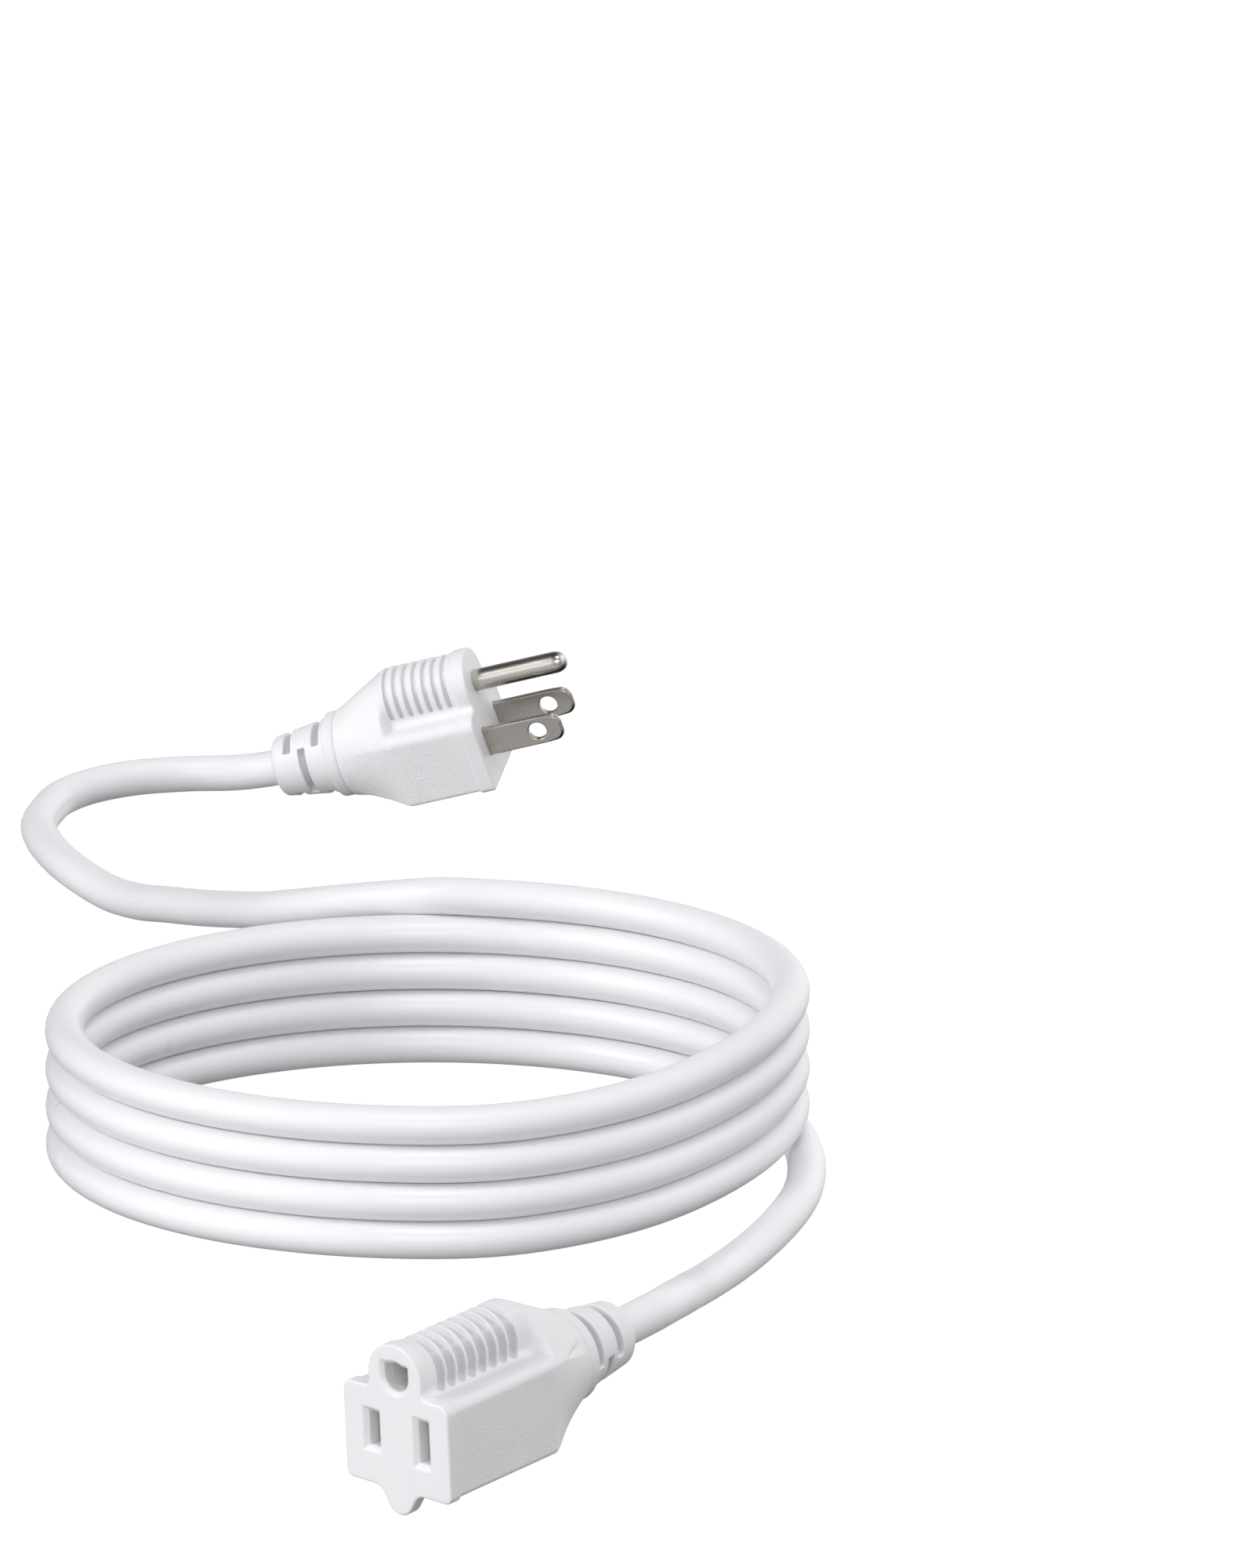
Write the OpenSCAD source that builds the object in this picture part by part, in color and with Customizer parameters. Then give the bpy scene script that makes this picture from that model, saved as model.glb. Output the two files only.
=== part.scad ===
// Grounded three-prong extension cord.
// A moulded plug with two flat blades and a round ground pin, a moulded connector with
// two slots and a U-shaped ground hole, and the round jacketed cord coiled between them.
// Millimetres, +Z up, floor at z = 0. The connector face looks along -Y.

/* [Cord] */
// Outside diameter of the round jacket
cord_d = 7.8; // [6:0.1:9]
// Radius of the coil, to the middle of the cord
coil_r = 73.5; // [60:0.5:90]
// Height gained from one turn of the coil to the next
coil_pitch = 7.85; // [7.8:0.05:9]
// Number of whole turns in the coil
coil_turns = 4; // [3:1:6]

/* [Blades and pin] */
// Height of a flat blade
blade_w = 6.35; // [6.2:0.05:6.5]
// Thickness of a flat blade
blade_t = 1.52; // [1.4:0.02:1.6]
// Length of a flat blade in front of the plug face
blade_len = 17.6; // [15.9:0.1:18.2]
// Distance between the middles of the two blades
blade_pitch = 12.7; // [12.5:0.1:12.9]
// Diameter of the lock hole near each blade tip
lock_hole_d = 3.96; // [3.8:0.02:4.2]
// Distance from the plug face to the middle of the lock hole
lock_hole_x = 11.9; // [11:0.1:12.5]
// Diameter of the round ground pin
pin_d = 4.76; // [4.7:0.02:4.84]
// Length of the ground pin in front of the plug face
pin_len = 21.4; // [20:0.1:22]
// Height of the ground pin above the middle of the blades
pin_up = 11.9; // [11.8:0.05:12]
// Diameter of the ground pin's shank, which the plug body grips
pin_shank_d = 4.2; // [4:0.05:4.6]

/* [Plug] */
// Half width of the plug flange
plug_half_w = 12.4; // [11:0.1:14]
// Height of the plug shoulders above the blade line
plug_shoulder = 8.2; // [7:0.1:9]
// Depth of the plug flange below the blade line
plug_bottom = 9.5; // [8.5:0.1:11]
// Radius of the round lobe over the ground pin
plug_lobe_r = 7.4; // [6.5:0.1:8]
// Thickness of the plug flange
plug_flange_t = 3.3; // [2:0.1:4]
// Distance from the face to the end of the straight grip
plug_grip_len = 19.5; // [16:0.5:24]
// Distance from the face to the end of the taper
plug_taper_len = 33; // [28:0.5:40]
// Height of the cord exit above the blade line
plug_exit_up = 2; // [0:0.5:4]
// Number of grip grooves over the lobe
plug_grooves = 7; // [4:1:8]

/* [Connector] */
// Half width of the connector flange
con_half_w = 13.4; // [12:0.1:15]
// Height of the connector shoulders above the slot line
con_shoulder = 9; // [8:0.1:10]
// Depth of the connector flange below the slot line
con_bottom = 11; // [10:0.1:12]
// Radius of the round lobe over the ground hole
con_lobe_r = 6.8; // [6.4:0.1:8]
// Thickness of the connector flange
con_flange_t = 3; // [2:0.1:4]
// Distance from the face to the end of the straight grip
con_grip_len = 31; // [26:0.5:36]
// Distance from the face to the end of the taper
con_taper_len = 45; // [38:0.5:50]
// Height of the cord exit above the slot line
con_exit_up = 1.5; // [0:0.5:4]
// Number of grip grooves over the lobe
con_grooves = 8; // [4:1:9]
// Height of the line slot
line_slot_h = 7.1; // [6.8:0.1:7.5]
// Height of the wider neutral slot
neutral_slot_h = 8.7; // [8.3:0.1:9]
// Width of both slots
slot_w = 2.6; // [2:0.1:3]
// Width of the U-shaped ground hole
ground_hole_w = 5.8; // [5.2:0.1:6.2]

/* [Strain relief] */
// Radius of the collar behind each moulded body
collar_r = 9.65; // [8:0.05:11]
// Length of the collar
collar_len = 2.9; // [2:0.1:4]
// Radius of the relief just behind the collar
relief_r1 = 8.4; // [7:0.1:9]
// Radius of the relief at the cord end
relief_r2 = 6.5; // [5.5:0.1:7]
// Depth of the flex slots
relief_slot_depth = 1.8; // [1:0.1:2.5]

/* [Wires] */
// Diameter of the insulation of one conductor
wire_d = 2.5; // [2.2:0.1:2.8]
// Diameter of the bare strands of one conductor
core_d = 1.5; // [1.2:0.1:1.6]

/* [Layout] */
// Turn of the plug about the upright axis
plug_yaw = 27; // [0:1:90]
// Tilt of the blades above level
plug_pitch = 16; // [0:1:30]
// Roll of the plug about its own length
plug_roll = 13; // [0:1:30]
// Turn of the connector about the upright axis
con_yaw = -0.5; // [-20:0.1:20]
// Lift of the connector's rear end
con_pitch = 5.5; // [0:0.5:12]
// Roll of the connector about its own length
con_roll = 2; // [-10:0.5:10]

/* [Hidden] */
cord_r = cord_d / 2;
coil_at = [21.5, -20, 0];
plug_at = [-156, 198.5, 17.9];
con_at = [185.3, -211, 16 * cos(con_pitch)];
body_inset = 0.45;
jacket_in_plug = 30;
jacket_in_con = 40;
white = [0.93, 0.93, 0.92];
resin = [0.86, 0.85, 0.80];
nickel = [0.72, 0.70, 0.66];
brass = [0.80, 0.66, 0.36];
copper = [0.78, 0.45, 0.30];

// Plug axes in the row frame: forward, left and up
plug_f = [cos(plug_yaw) * cos(plug_pitch), sin(plug_yaw) * cos(plug_pitch), sin(plug_pitch)];
plug_s = [-sin(plug_yaw), cos(plug_yaw), 0];
plug_n = cross(plug_f, plug_s);
plug_l = plug_s * cos(plug_roll) + plug_n * sin(plug_roll);
plug_u = -plug_s * sin(plug_roll) + plug_n * cos(plug_roll);
function plug_pt(q) = plug_at + q[0] * plug_f + q[1] * plug_l + q[2] * plug_u;

// Connector axes in the row frame: right, back and up
con_s = [cos(con_yaw), sin(con_yaw), 0];
con_b = [-sin(con_yaw) * cos(con_pitch), cos(con_yaw) * cos(con_pitch), sin(con_pitch)];
con_n = cross(con_s, con_b);
con_r = con_s * cos(con_roll) - con_n * sin(con_roll);
con_u = con_s * sin(con_roll) + con_n * cos(con_roll);
function con_pt(q) = con_at + q[0] * con_r + q[1] * con_b + q[2] * con_u;

// Middle line of the cord from the plug to the top of the coil, about the coil axis
plug_route = [
    [-228, 192.5, 4.4], [-237, 185.5, 3.9], [-243.5, 175, 3.9], [-245.5, 164, 3.9],
    [-243.5, 152, 3.9], [-238, 141.5, 3.9], [-231.5, 132, 3.9], [-223, 124, 3.9],
    [-213.5, 117, 3.9], [-203, 110.5, 3.9], [-191.5, 104.5, 3.9], [-179.5, 99, 4.2],
    [-166.5, 93, 6], [-150.5, 85.5, 9.6], [-133.5, 77, 13.6], [-115.5, 68, 18.2],
    [-97.5, 59.5, 23], [-89, 56.5, 25.5], [-79, 54, 28.3], [-68.5, 53.5, 31],
    [-58, 54.5, 33.3], [-48, 57.5, 35.1]
];

// Middle line of the cord from the bottom of the coil to the connector, about the coil axis
con_route = [
    [75, 30.5, 3.9], [83.5, 19, 3.9], [93, 2.5, 3.9], [101, -14.5, 3.9],
    [109, -31.5, 4.9], [118, -48.5, 7.3], [127.5, -63.5, 10.7], [137, -76.5, 14.6],
    [146.5, -89, 18.4], [154.5, -101.5, 21.4], [161, -114.5, 23.3]
];

// ---------------------------------------------------------------- helpers

function unit(v) = v / norm(v);

function tangent(p, i) =
    i == 0 ? unit(p[1] - p[0]) :
    i == len(p) - 1 ? unit(p[i] - p[i - 1]) :
    let (a = p[i] - p[i - 1], b = p[i + 1] - p[i])
    unit(a / norm(a) * norm(b) + b / norm(b) * norm(a));

function ring(c, t, r, n) =
    let (s = unit(cross([0, 0, 1], t)), u = cross(t, s))
    [for (k = [0 : n - 1]) c + r * (cos(360 * k / n) * s + sin(360 * k / n) * u)];

// A round tube of constant radius swept along the points p
module tube(p, r, n = 12) {
    m = len(p);
    polyhedron(
        points = [for (i = [0 : m - 1]) each ring(p[i], tangent(p, i), r, n)],
        faces = concat(
            [[for (k = [0 : n - 1]) k]],
            [[for (k = [n - 1 : -1 : 0]) (m - 1) * n + k]],
            [for (i = [0 : m - 2], k = [0 : n - 1])
                [i * n + k, (i + 1) * n + (k + 1) % n, i * n + (k + 1) % n]],
            [for (i = [0 : m - 2], k = [0 : n - 1])
                [i * n + k, (i + 1) * n + k, (i + 1) * n + (k + 1) % n]]
        )
    );
}

module in_plug() {
    translate(plug_at) rotate([0, 0, plug_yaw]) rotate([0, -plug_pitch, 0])
        rotate([plug_roll, 0, 0]) children();
}

module in_connector() {
    translate(con_at) rotate([con_pitch, 0, con_yaw])
        rotate([0, con_roll, 0]) children();
}

// Extrudes an outline drawn in (left, up) from x0 to x1 along the plug axis
module along_x(x0, x1) {
    translate([x0, 0, 0]) rotate([90, 0, 90]) linear_extrude(height = x1 - x0) children();
}

// Extrudes an outline drawn in (right, up) from y0 to y1 along the connector axis
module along_y(y0, y1) {
    translate([0, y1, 0]) rotate([90, 0, 0]) linear_extrude(height = y1 - y0) children();
}

// Lower part of a moulded body: rounded shoulders, tighter bottom corners
module block_outline(half_w, top, bottom, top_r, bottom_r) {
    hull() {
        for (s = [-1, 1]) {
            translate([s * (half_w - top_r), top - top_r]) circle(r = top_r, $fn = 32);
            translate([s * (half_w - bottom_r), -bottom + bottom_r])
                circle(r = bottom_r, $fn = 20);
        }
    }
}

module lobe_outline(r, up) {
    translate([0, up]) circle(r = r, $fn = 48);
}

module plug_outline() {
    offset(r = -1.6, $fn = 32) offset(r = 1.6, $fn = 32) {
        block_outline(plug_half_w, plug_shoulder, plug_bottom, 3, 1.2);
        lobe_outline(plug_lobe_r, pin_up);
    }
}

module con_outline() {
    offset(r = -1.6, $fn = 32) offset(r = 1.6, $fn = 32) {
        block_outline(con_half_w, con_shoulder, con_bottom, 2.3, 1.4);
        lobe_outline(con_lobe_r, pin_up);
    }
}

// Flange outline of the connector, with the finger tab at the bottom
module con_flange_outline() {
    offset(r = -1.6, $fn = 32) offset(r = 1.6, $fn = 32) {
        block_outline(con_half_w, con_shoulder, con_bottom, 2.3, 1.4);
        lobe_outline(con_lobe_r, pin_up);
        translate([0, -con_bottom - 1.8]) circle(r = 3.2, $fn = 40);
        polygon([[-6.2, -con_bottom + 0.5], [6.2, -con_bottom + 0.5],
            [2.9, -con_bottom - 2.6], [-2.9, -con_bottom - 2.6]]);
    }
}

// Strain relief along +Z: collar, slotted cone, rounded end, bore for the cord.
// Each slot is [from, to, middle angle, half its angle].
module relief(length, slots) {
    difference() {
        rotate_extrude($fn = 64) polygon(concat(
            [[cord_r, 0], [collar_r, 0], [collar_r, collar_len - 0.5],
                [collar_r - 0.5, collar_len], [relief_r1, collar_len]],
            [for (a = [0 : 15 : 90]) [relief_r2 - 1.2 + 1.2 * cos(a),
                length - 1.2 + 1.2 * sin(a)]],
            [[cord_r, length]]));
        for (s = slots)
            let (rs = relief_r1 + (relief_r2 - relief_r1) * (s[0] - collar_len)
                / (length - collar_len))
            rotate([0, 0, s[2] - s[3]])
                rotate_extrude(angle = 2 * s[3], $fn = 48)
                    translate([rs - relief_slot_depth, s[0]])
                        square([relief_slot_depth + 2, s[1] - s[0]]);
    }
}

// One curved grip groove, in the plane of a body outline, centred on the lobe
module groove(r) {
    rotate([0, 0, -14]) rotate_extrude(angle = 208, $fn = 48)
        translate([r, 0]) circle(r = 0.62, $fn = 8);
}

// ---------------------------------------------------------------- plug metal and insert

module blade_shape() {
    rotate([90, 0, 0]) translate([0, 0, -blade_t / 2])
        linear_extrude(height = blade_t) union() {
            hull() {
                translate([-12, -blade_w / 2]) square([1, blade_w]);
                for (s = [-1, 1]) translate([blade_len - 2.2, s * (blade_w / 2 - 2.2)])
                    circle(r = 2.2, $fn = 32);
            }
            translate([-15, -1.3]) square([4, 2.6]);
        }
}

// Crimp barrel behind a blade or pin, open at the back for the strands
module plug_barrel() {
    translate([-20, 0, 0]) rotate([0, 90, 0]) difference() {
        cylinder(r = 1.7, h = 6, $fn = 32);
        translate([0, 0, -1]) cylinder(d = core_d, h = 6, $fn = 32);
    }
}

module blade_at(side) {
    translate([0, side * blade_pitch / 2, 0]) {
        difference() {
            blade_shape();
            translate([lock_hole_x, 0, 0]) rotate([90, 0, 0])
                cylinder(d = lock_hole_d, h = 4, center = true, $fn = 48);
            translate([-21, 0, 0]) rotate([0, 90, 0]) cylinder(d = core_d, h = 6, $fn = 32);
        }
        plug_barrel();
    }
}

module pin_shape() {
    translate([0, 0, pin_up]) {
        rotate([0, 90, 0]) rotate_extrude($fn = 64) polygon(concat(
            [[0, -14], [pin_shank_d / 2, -14], [pin_shank_d / 2, 0], [pin_d / 2, 0],
                [pin_d / 2, pin_len - pin_d / 2]],
            [for (a = [10 : 10 : 80]) [pin_d / 2 * cos(a),
                pin_len - pin_d / 2 + pin_d / 2 * sin(a)]],
            [[0, pin_len]]));
        plug_barrel();
    }
}

module insert_block() {
    translate([-12, -9.3, -6]) cube([10, 18.6, 12.5]);
    translate([-12, -4.5, 6]) cube([10, 9, 9.5]);
}

module blade_slot(x0, x1, side) {
    translate([x0, side * blade_pitch / 2 - blade_t / 2, -blade_w / 2])
        cube([x1 - x0, blade_t, blade_w]);
}

// Wires from the crimps to the end of the jacket, inside the plug
function plug_wire(side) = [[-20.4, side * blade_pitch / 2, 0], [-21.6, side * 6.2, 0.1],
    [-28.8, side * 1.7, 1.2], [-jacket_in_plug, side * 1.3, 1.3]];
plug_ground_path = [[-20.4, 0, pin_up], [-21.6, 0, pin_up - 0.3],
    [-28.8, 0, 4], [-jacket_in_plug, 0, 3.6]];

module plug_inside() {
    insert_block();
    blade_slot(-12.5, 1, 1);
    blade_slot(-12.5, 1, -1);
    for (s = [-1, 1]) translate([-20.4, s * blade_pitch / 2, 0]) rotate([0, 90, 0])
        cylinder(r = 1.7, h = 9, $fn = 32);
    translate([-14, 0, pin_up]) rotate([0, 90, 0])
        cylinder(d = pin_shank_d, h = 15, $fn = 64);
    translate([-20.4, 0, pin_up]) rotate([0, 90, 0]) cylinder(r = 1.7, h = 9, $fn = 32);
    tube(plug_wire(1), wire_d / 2, 8);
    tube(plug_wire(-1), wire_d / 2, 8);
    tube(plug_ground_path, wire_d / 2, 8);
    translate([-plug_taper_len - 1, 0, plug_exit_up]) rotate([0, 90, 0])
        cylinder(r = cord_r, h = plug_taper_len + 1 - jacket_in_plug, $fn = 64);
}

// ---------------------------------------------------------------- plug nodes

module plug_body() {
    color(white) in_plug() difference() {
        union() {
            along_x(-plug_flange_t, 0) plug_outline();
            difference() {
                along_x(-plug_grip_len, -plug_flange_t + 0.5)
                    offset(delta = -body_inset) plug_outline();
                for (k = [0 : plug_grooves - 1])
                    translate([-5.05 - 2.26 * k, 0, pin_up]) rotate([90, 0, 90])
                        groove(plug_lobe_r - body_inset + 0.05);
            }
            hull() {
                along_x(-plug_grip_len, -plug_grip_len + 0.4) {
                    block_outline(plug_half_w - 0.5, plug_shoulder - 0.5,
                        plug_bottom - 0.5, 2.6, 1);
                    lobe_outline(plug_lobe_r - 0.5, pin_up, $fn = 32);
                }
                translate([-plug_taper_len, 0, plug_exit_up]) rotate([0, 90, 0])
                    cylinder(r = collar_r, h = 0.3, $fn = 32);
            }
        }
        plug_inside();
    }
}

module plug_strain_relief() {
    color(white) in_plug() translate([-plug_taper_len, 0, plug_exit_up])
        rotate([0, -90, 0]) relief(16, [for (turn = [0, 180])
            each [[4, 5.7, turn, 48], [7.5, 9.2, turn + 90, 48], [11, 12.7, turn, 48]]]);
}

module plug_insert() {
    color(resin) in_plug() difference() {
        insert_block();
        blade_slot(-13, -1, 1);
        blade_slot(-13, -1, -1);
        translate([-13, 0, pin_up]) rotate([0, 90, 0])
            cylinder(d = pin_shank_d, h = 12, $fn = 64);
    }
}

module line_blade() {
    color(nickel) in_plug() blade_at(1);
}

module neutral_blade() {
    color(nickel) in_plug() blade_at(-1);
}

module ground_pin() {
    color(nickel) in_plug() pin_shape();
}

module plug_line_wire() {
    color([0.1, 0.1, 0.1]) in_plug() tube(plug_wire(1), wire_d / 2, 8);
}

module plug_neutral_wire() {
    color([0.9, 0.9, 0.9]) in_plug() tube(plug_wire(-1), wire_d / 2, 8);
}

module plug_ground_wire() {
    color([0.1, 0.5, 0.2]) in_plug() tube(plug_ground_path, wire_d / 2, 8);
}

module plug_wire_cores() {
    color(copper) in_plug()
        for (q = [[blade_pitch / 2, 0], [-blade_pitch / 2, 0], [0, pin_up]])
            translate([-20.4, q[0], q[1]]) rotate([0, 90, 0])
                cylinder(d = core_d, h = 5.4, $fn = 32);
}

// ---------------------------------------------------------------- cord

module cord_plug_tail() {
    color(white) tube(concat(
        [plug_pt([-jacket_in_plug, 0, plug_exit_up]), plug_pt([-40, 0, plug_exit_up]),
            plug_pt([-49, 0, plug_exit_up])],
        [for (q = plug_route) coil_at + q],
        [for (a = [122, 102, 82, 62, 42])
            coil_at + [coil_r * cos(a), coil_r * sin(a), cord_r + coil_turns * coil_pitch]]
    ), cord_r);
}

module cord_coil() {
    color(white) translate(coil_at) rotate_extrude($fn = 96) {
        for (k = [0 : coil_turns - 1])
            translate([coil_r, cord_r + k * coil_pitch]) circle(r = cord_r, $fn = 48);
        translate([coil_r - 2.4, cord_r]) square([4.8, (coil_turns - 1) * coil_pitch]);
    }
}

module cord_connector_tail() {
    color(white) tube(concat(
        [for (q = con_route) coil_at + q],
        [con_pt([0, 61.5, con_exit_up]), con_pt([0, 50, con_exit_up]),
            con_pt([0, jacket_in_con, con_exit_up])]
    ), cord_r);
}

// ---------------------------------------------------------------- connector inside

// U-shaped ground hole outline: round below, flat on top
module u_hole(extra = 0) {
    w = ground_hole_w / 2 + extra;
    translate([0, pin_up]) circle(r = w, $fn = 40);
    translate([-w, pin_up]) square([2 * w, 2.5 + extra]);
}

module slot_hole(h, extra = 0) {
    square([slot_w + 2 * extra, h + 2 * extra], center = true);
}

module carrier_block(y0, y1) {
    translate([-10.5, y0, -6.5]) cube([21, y1 - y0, 13]);
    translate([-4, y0, 6]) cube([8, y1 - y0, 9.5]);
}

module con_barrel() {
    translate([0, 27, 0]) rotate([-90, 0, 0]) difference() {
        cylinder(r = 1.7, h = 5, $fn = 32);
        translate([0, 0, 0.6]) cylinder(d = core_d, h = 5, $fn = 32);
    }
}

// Double-leaf contact, seen from above: two springs meeting in a bridge, with a tail
module leaf_contact(h) {
    translate([0, 0, -h / 2]) linear_extrude(height = h)
        for (m = [0, 1]) mirror([m, 0]) polygon([[1.6, 8], [2.1, 8], [1.35, 12], [1.35, 16],
            [1.9, 22], [0, 22], [0, 21.4], [1.35, 21.4], [0.8, 16], [0.8, 11.9]]);
    translate([-0.3, 21.6, -1.3]) cube([0.6, 5.8, 2.6]);
    con_barrel();
}

function con_wire(side) = [[side * blade_pitch / 2, 32.4, 0], [side * 6.1, 33.8, 0.1],
    [side * 1.7, 38.8, 0.8], [side * 1.3, jacket_in_con, 0.8]];
con_ground_path = [[0, 32.4, pin_up], [0, 33.8, pin_up - 0.3],
    [0, 38.8, 3.5], [0, jacket_in_con, 3.1]];

module con_inside() {
    carrier_block(3.5, 26);
    for (q = [[-blade_pitch / 2, 0], [blade_pitch / 2, 0], [0, pin_up]])
        translate([q[0], 25, q[1]]) rotate([-90, 0, 0]) cylinder(r = 1.7, h = 7.4, $fn = 32);
    tube(con_wire(1), wire_d / 2, 8);
    tube(con_wire(-1), wire_d / 2, 8);
    tube(con_ground_path, wire_d / 2, 8);
    translate([0, jacket_in_con, con_exit_up]) rotate([-90, 0, 0])
        cylinder(r = cord_r, h = con_taper_len + 1 - jacket_in_con, $fn = 64);
    translate([-blade_pitch / 2, 0, 0]) along_y(-1, 4) slot_hole(line_slot_h);
    translate([blade_pitch / 2, 0, 0]) along_y(-1, 4) slot_hole(neutral_slot_h);
    along_y(-1, 4) u_hole();
}

// Lead-in around a slot at the face
module lead_in(x, h) {
    translate([x, 0, 0]) hull() {
        along_y(-0.1, 0) slot_hole(h, 0.9);
        along_y(0.9, 1) slot_hole(h, 0);
    }
}

// ---------------------------------------------------------------- connector nodes

module connector_body() {
    color(white) in_connector() difference() {
        union() {
            along_y(0, con_flange_t) con_flange_outline();
            difference() {
                along_y(con_flange_t - 0.5, con_grip_len)
                    offset(delta = -body_inset) con_outline();
                for (k = [0 : con_grooves - 1])
                    translate([0, 6.4 + 2.92 * k, pin_up]) rotate([90, 0, 0])
                        groove(con_lobe_r - body_inset + 0.05);
            }
            hull() {
                along_y(con_grip_len - 0.4, con_grip_len) {
                    block_outline(con_half_w - 0.5, con_shoulder - 0.5,
                        con_bottom - 0.5, 2, 1);
                    lobe_outline(con_lobe_r - 0.5, pin_up, $fn = 32);
                }
                translate([0, con_taper_len, con_exit_up]) rotate([90, 0, 0])
                    cylinder(r = collar_r, h = 0.3, $fn = 32);
            }
        }
        con_inside();
        lead_in(-blade_pitch / 2, line_slot_h);
        lead_in(blade_pitch / 2, neutral_slot_h);
    }
}

module connector_strain_relief() {
    color(white) in_connector() translate([0, con_taper_len, con_exit_up])
        rotate([-90, 0, 0]) relief(16.5,
            [[3.4, 5.2, -65, 76], [6.8, 8.6, 75, 72], [10, 11.7, -65, 76]]);
}

module contact_carrier() {
    color(resin) in_connector() difference() {
        carrier_block(3.5, 24);
        translate([-blade_pitch / 2, 0, 0]) along_y(3, 8) slot_hole(line_slot_h);
        translate([blade_pitch / 2, 0, 0]) along_y(3, 8) slot_hole(neutral_slot_h);
        along_y(3, 8) u_hole();
        for (s = [-1, 1]) translate([s * blade_pitch / 2 - 2.7, 7, -4.8]) cube([5.4, 18, 9.6]);
        translate([0, 8, pin_up]) rotate([-90, 0, 0]) cylinder(r = 3.2, h = 17, $fn = 48);
    }
}

module carrier_cover() {
    color(resin) in_connector() difference() {
        carrier_block(24, 26);
        for (q = [[-blade_pitch / 2, 0], [blade_pitch / 2, 0], [0, pin_up]])
            translate([q[0] - 0.4, 23, q[1] - 1.4]) cube([0.8, 4, 2.8]);
    }
}

module line_contact() {
    color(brass) in_connector() translate([-blade_pitch / 2, 0, 0]) leaf_contact(6.6);
}

module neutral_contact() {
    color(brass) in_connector() translate([blade_pitch / 2, 0, 0]) leaf_contact(8.2);
}

module ground_contact() {
    color(brass) in_connector() translate([0, 0, pin_up]) {
        translate([0, 9, 0]) rotate([-90, 0, 0]) difference() {
            cylinder(r = 2.85, h = 12, $fn = 48);
            translate([0, 0, -1]) cylinder(r = 2.3, h = 12.3, $fn = 48);
            translate([-0.4, -4, -1]) cube([0.8, 4, 10]);
        }
        translate([-0.3, 20.8, -1.3]) cube([0.6, 6.6, 2.6]);
        con_barrel();
    }
}

module connector_line_wire() {
    color([0.1, 0.1, 0.1]) in_connector() tube(con_wire(-1), wire_d / 2, 8);
}

module connector_neutral_wire() {
    color([0.9, 0.9, 0.9]) in_connector() tube(con_wire(1), wire_d / 2, 8);
}

module connector_ground_wire() {
    color([0.1, 0.5, 0.2]) in_connector() tube(con_ground_path, wire_d / 2, 8);
}

module connector_wire_cores() {
    color(copper) in_connector()
        for (q = [[blade_pitch / 2, 0], [-blade_pitch / 2, 0], [0, pin_up]])
            translate([q[0], 27.6, q[1]]) rotate([-90, 0, 0])
                cylinder(d = core_d, h = 4.8, $fn = 32);
}

// ---------------------------------------------------------------- drawing

// Which piece to draw

plug_body();
plug_strain_relief();
plug_insert();
line_blade();
neutral_blade();
ground_pin();
plug_line_wire();
plug_neutral_wire();
plug_ground_wire();
plug_wire_cores();
cord_plug_tail();
cord_coil();
cord_connector_tail();
connector_body();
connector_strain_relief();
contact_carrier();
carrier_cover();
line_contact();
neutral_contact();
ground_contact();
connector_line_wire();
connector_neutral_wire();
connector_ground_wire();
connector_wire_cores();
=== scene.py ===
import math

import bpy
import numpy as np
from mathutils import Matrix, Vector


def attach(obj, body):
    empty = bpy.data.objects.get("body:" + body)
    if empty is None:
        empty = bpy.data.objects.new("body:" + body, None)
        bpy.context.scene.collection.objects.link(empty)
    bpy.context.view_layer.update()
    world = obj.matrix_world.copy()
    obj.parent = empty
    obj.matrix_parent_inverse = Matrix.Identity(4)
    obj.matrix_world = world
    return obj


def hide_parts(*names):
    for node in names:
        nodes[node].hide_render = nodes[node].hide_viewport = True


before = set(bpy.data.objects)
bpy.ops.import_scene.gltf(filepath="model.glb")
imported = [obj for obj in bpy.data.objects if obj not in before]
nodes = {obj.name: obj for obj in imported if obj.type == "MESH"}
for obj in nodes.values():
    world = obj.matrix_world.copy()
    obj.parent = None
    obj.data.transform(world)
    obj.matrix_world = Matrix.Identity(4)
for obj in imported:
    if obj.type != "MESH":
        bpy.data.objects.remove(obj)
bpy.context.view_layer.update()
scene = bpy.context.scene
scene.view_settings.view_transform = "Standard"
scene.view_settings.look = "None"

MM = 0.001

# ------------------------------------------------------------------ layout, as in the CAD source
CORD_R = 3.9
COIL_R = 73.5
COIL_PITCH = 7.85
YAW, PITCH, ROLL = (math.radians(a) for a in (27.0, 16.0, 13.0))
CON_YAW, CON_PITCH, CON_ROLL = (math.radians(a) for a in (-0.5, 5.5, 2.0))
COIL_AT = np.array([21.5, -20.0, 0.0])
PLUG_AT = np.array([-156.0, 198.5, 17.9])
CON_AT = np.array([185.3, -211.0, 16.0 * math.cos(CON_PITCH)])

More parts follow.
